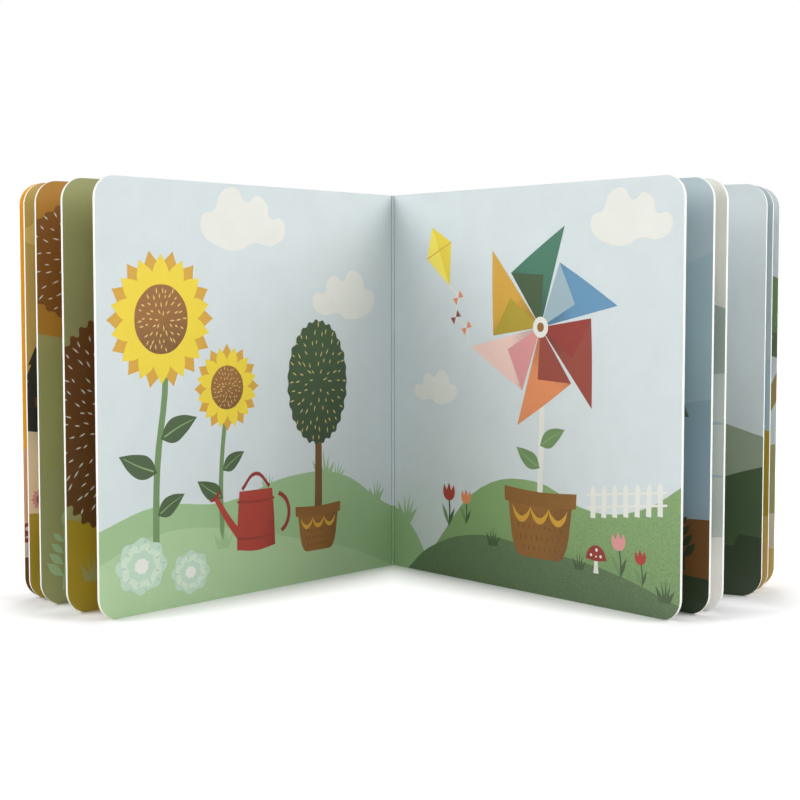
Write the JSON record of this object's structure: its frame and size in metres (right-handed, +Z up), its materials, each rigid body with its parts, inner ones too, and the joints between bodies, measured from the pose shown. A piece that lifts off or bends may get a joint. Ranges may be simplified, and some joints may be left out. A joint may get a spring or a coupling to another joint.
{
  "type": "board book",
  "caption": "Square board book of thick card boards, standing open with its boards fanned and both covers hinged at the spine.",
  "frame": {"origin": "foot of the rib in the centre fold, on the surface that the book stands on", "axes": "+Z up along the centre fold, +X to the reader's right, -Y towards the reader, where the two halves open"},
  "size_m": [0.3331, 0.1481, 0.18],
  "materials": {
    "printed_board": "satin",
    "cover_board": "satin"
  },
  "bodies": {
    "page_block": {"pages": "printed_board", "spine": "cover_board"},
    "front_board": {"front_cover": "cover_board"},
    "back_board": {"back_cover": "cover_board"}
  },
  "joints": [
    {"name": "front_cover_hinge", "type": "hinge", "parent": "page_block", "child": "front_board", "pos_m": [-0.00406, 0.00351, 0], "axis": [0, 0, -1], "range_deg": [-1.4, 90], "deforming": ["spine"]},
    {"name": "back_cover_hinge", "type": "hinge", "parent": "page_block", "child": "back_board", "pos_m": [0.00471, 0.00459, 0], "axis": [0, 0, 1], "range_deg": [-4, 90], "deforming": ["spine"]}
  ]
}
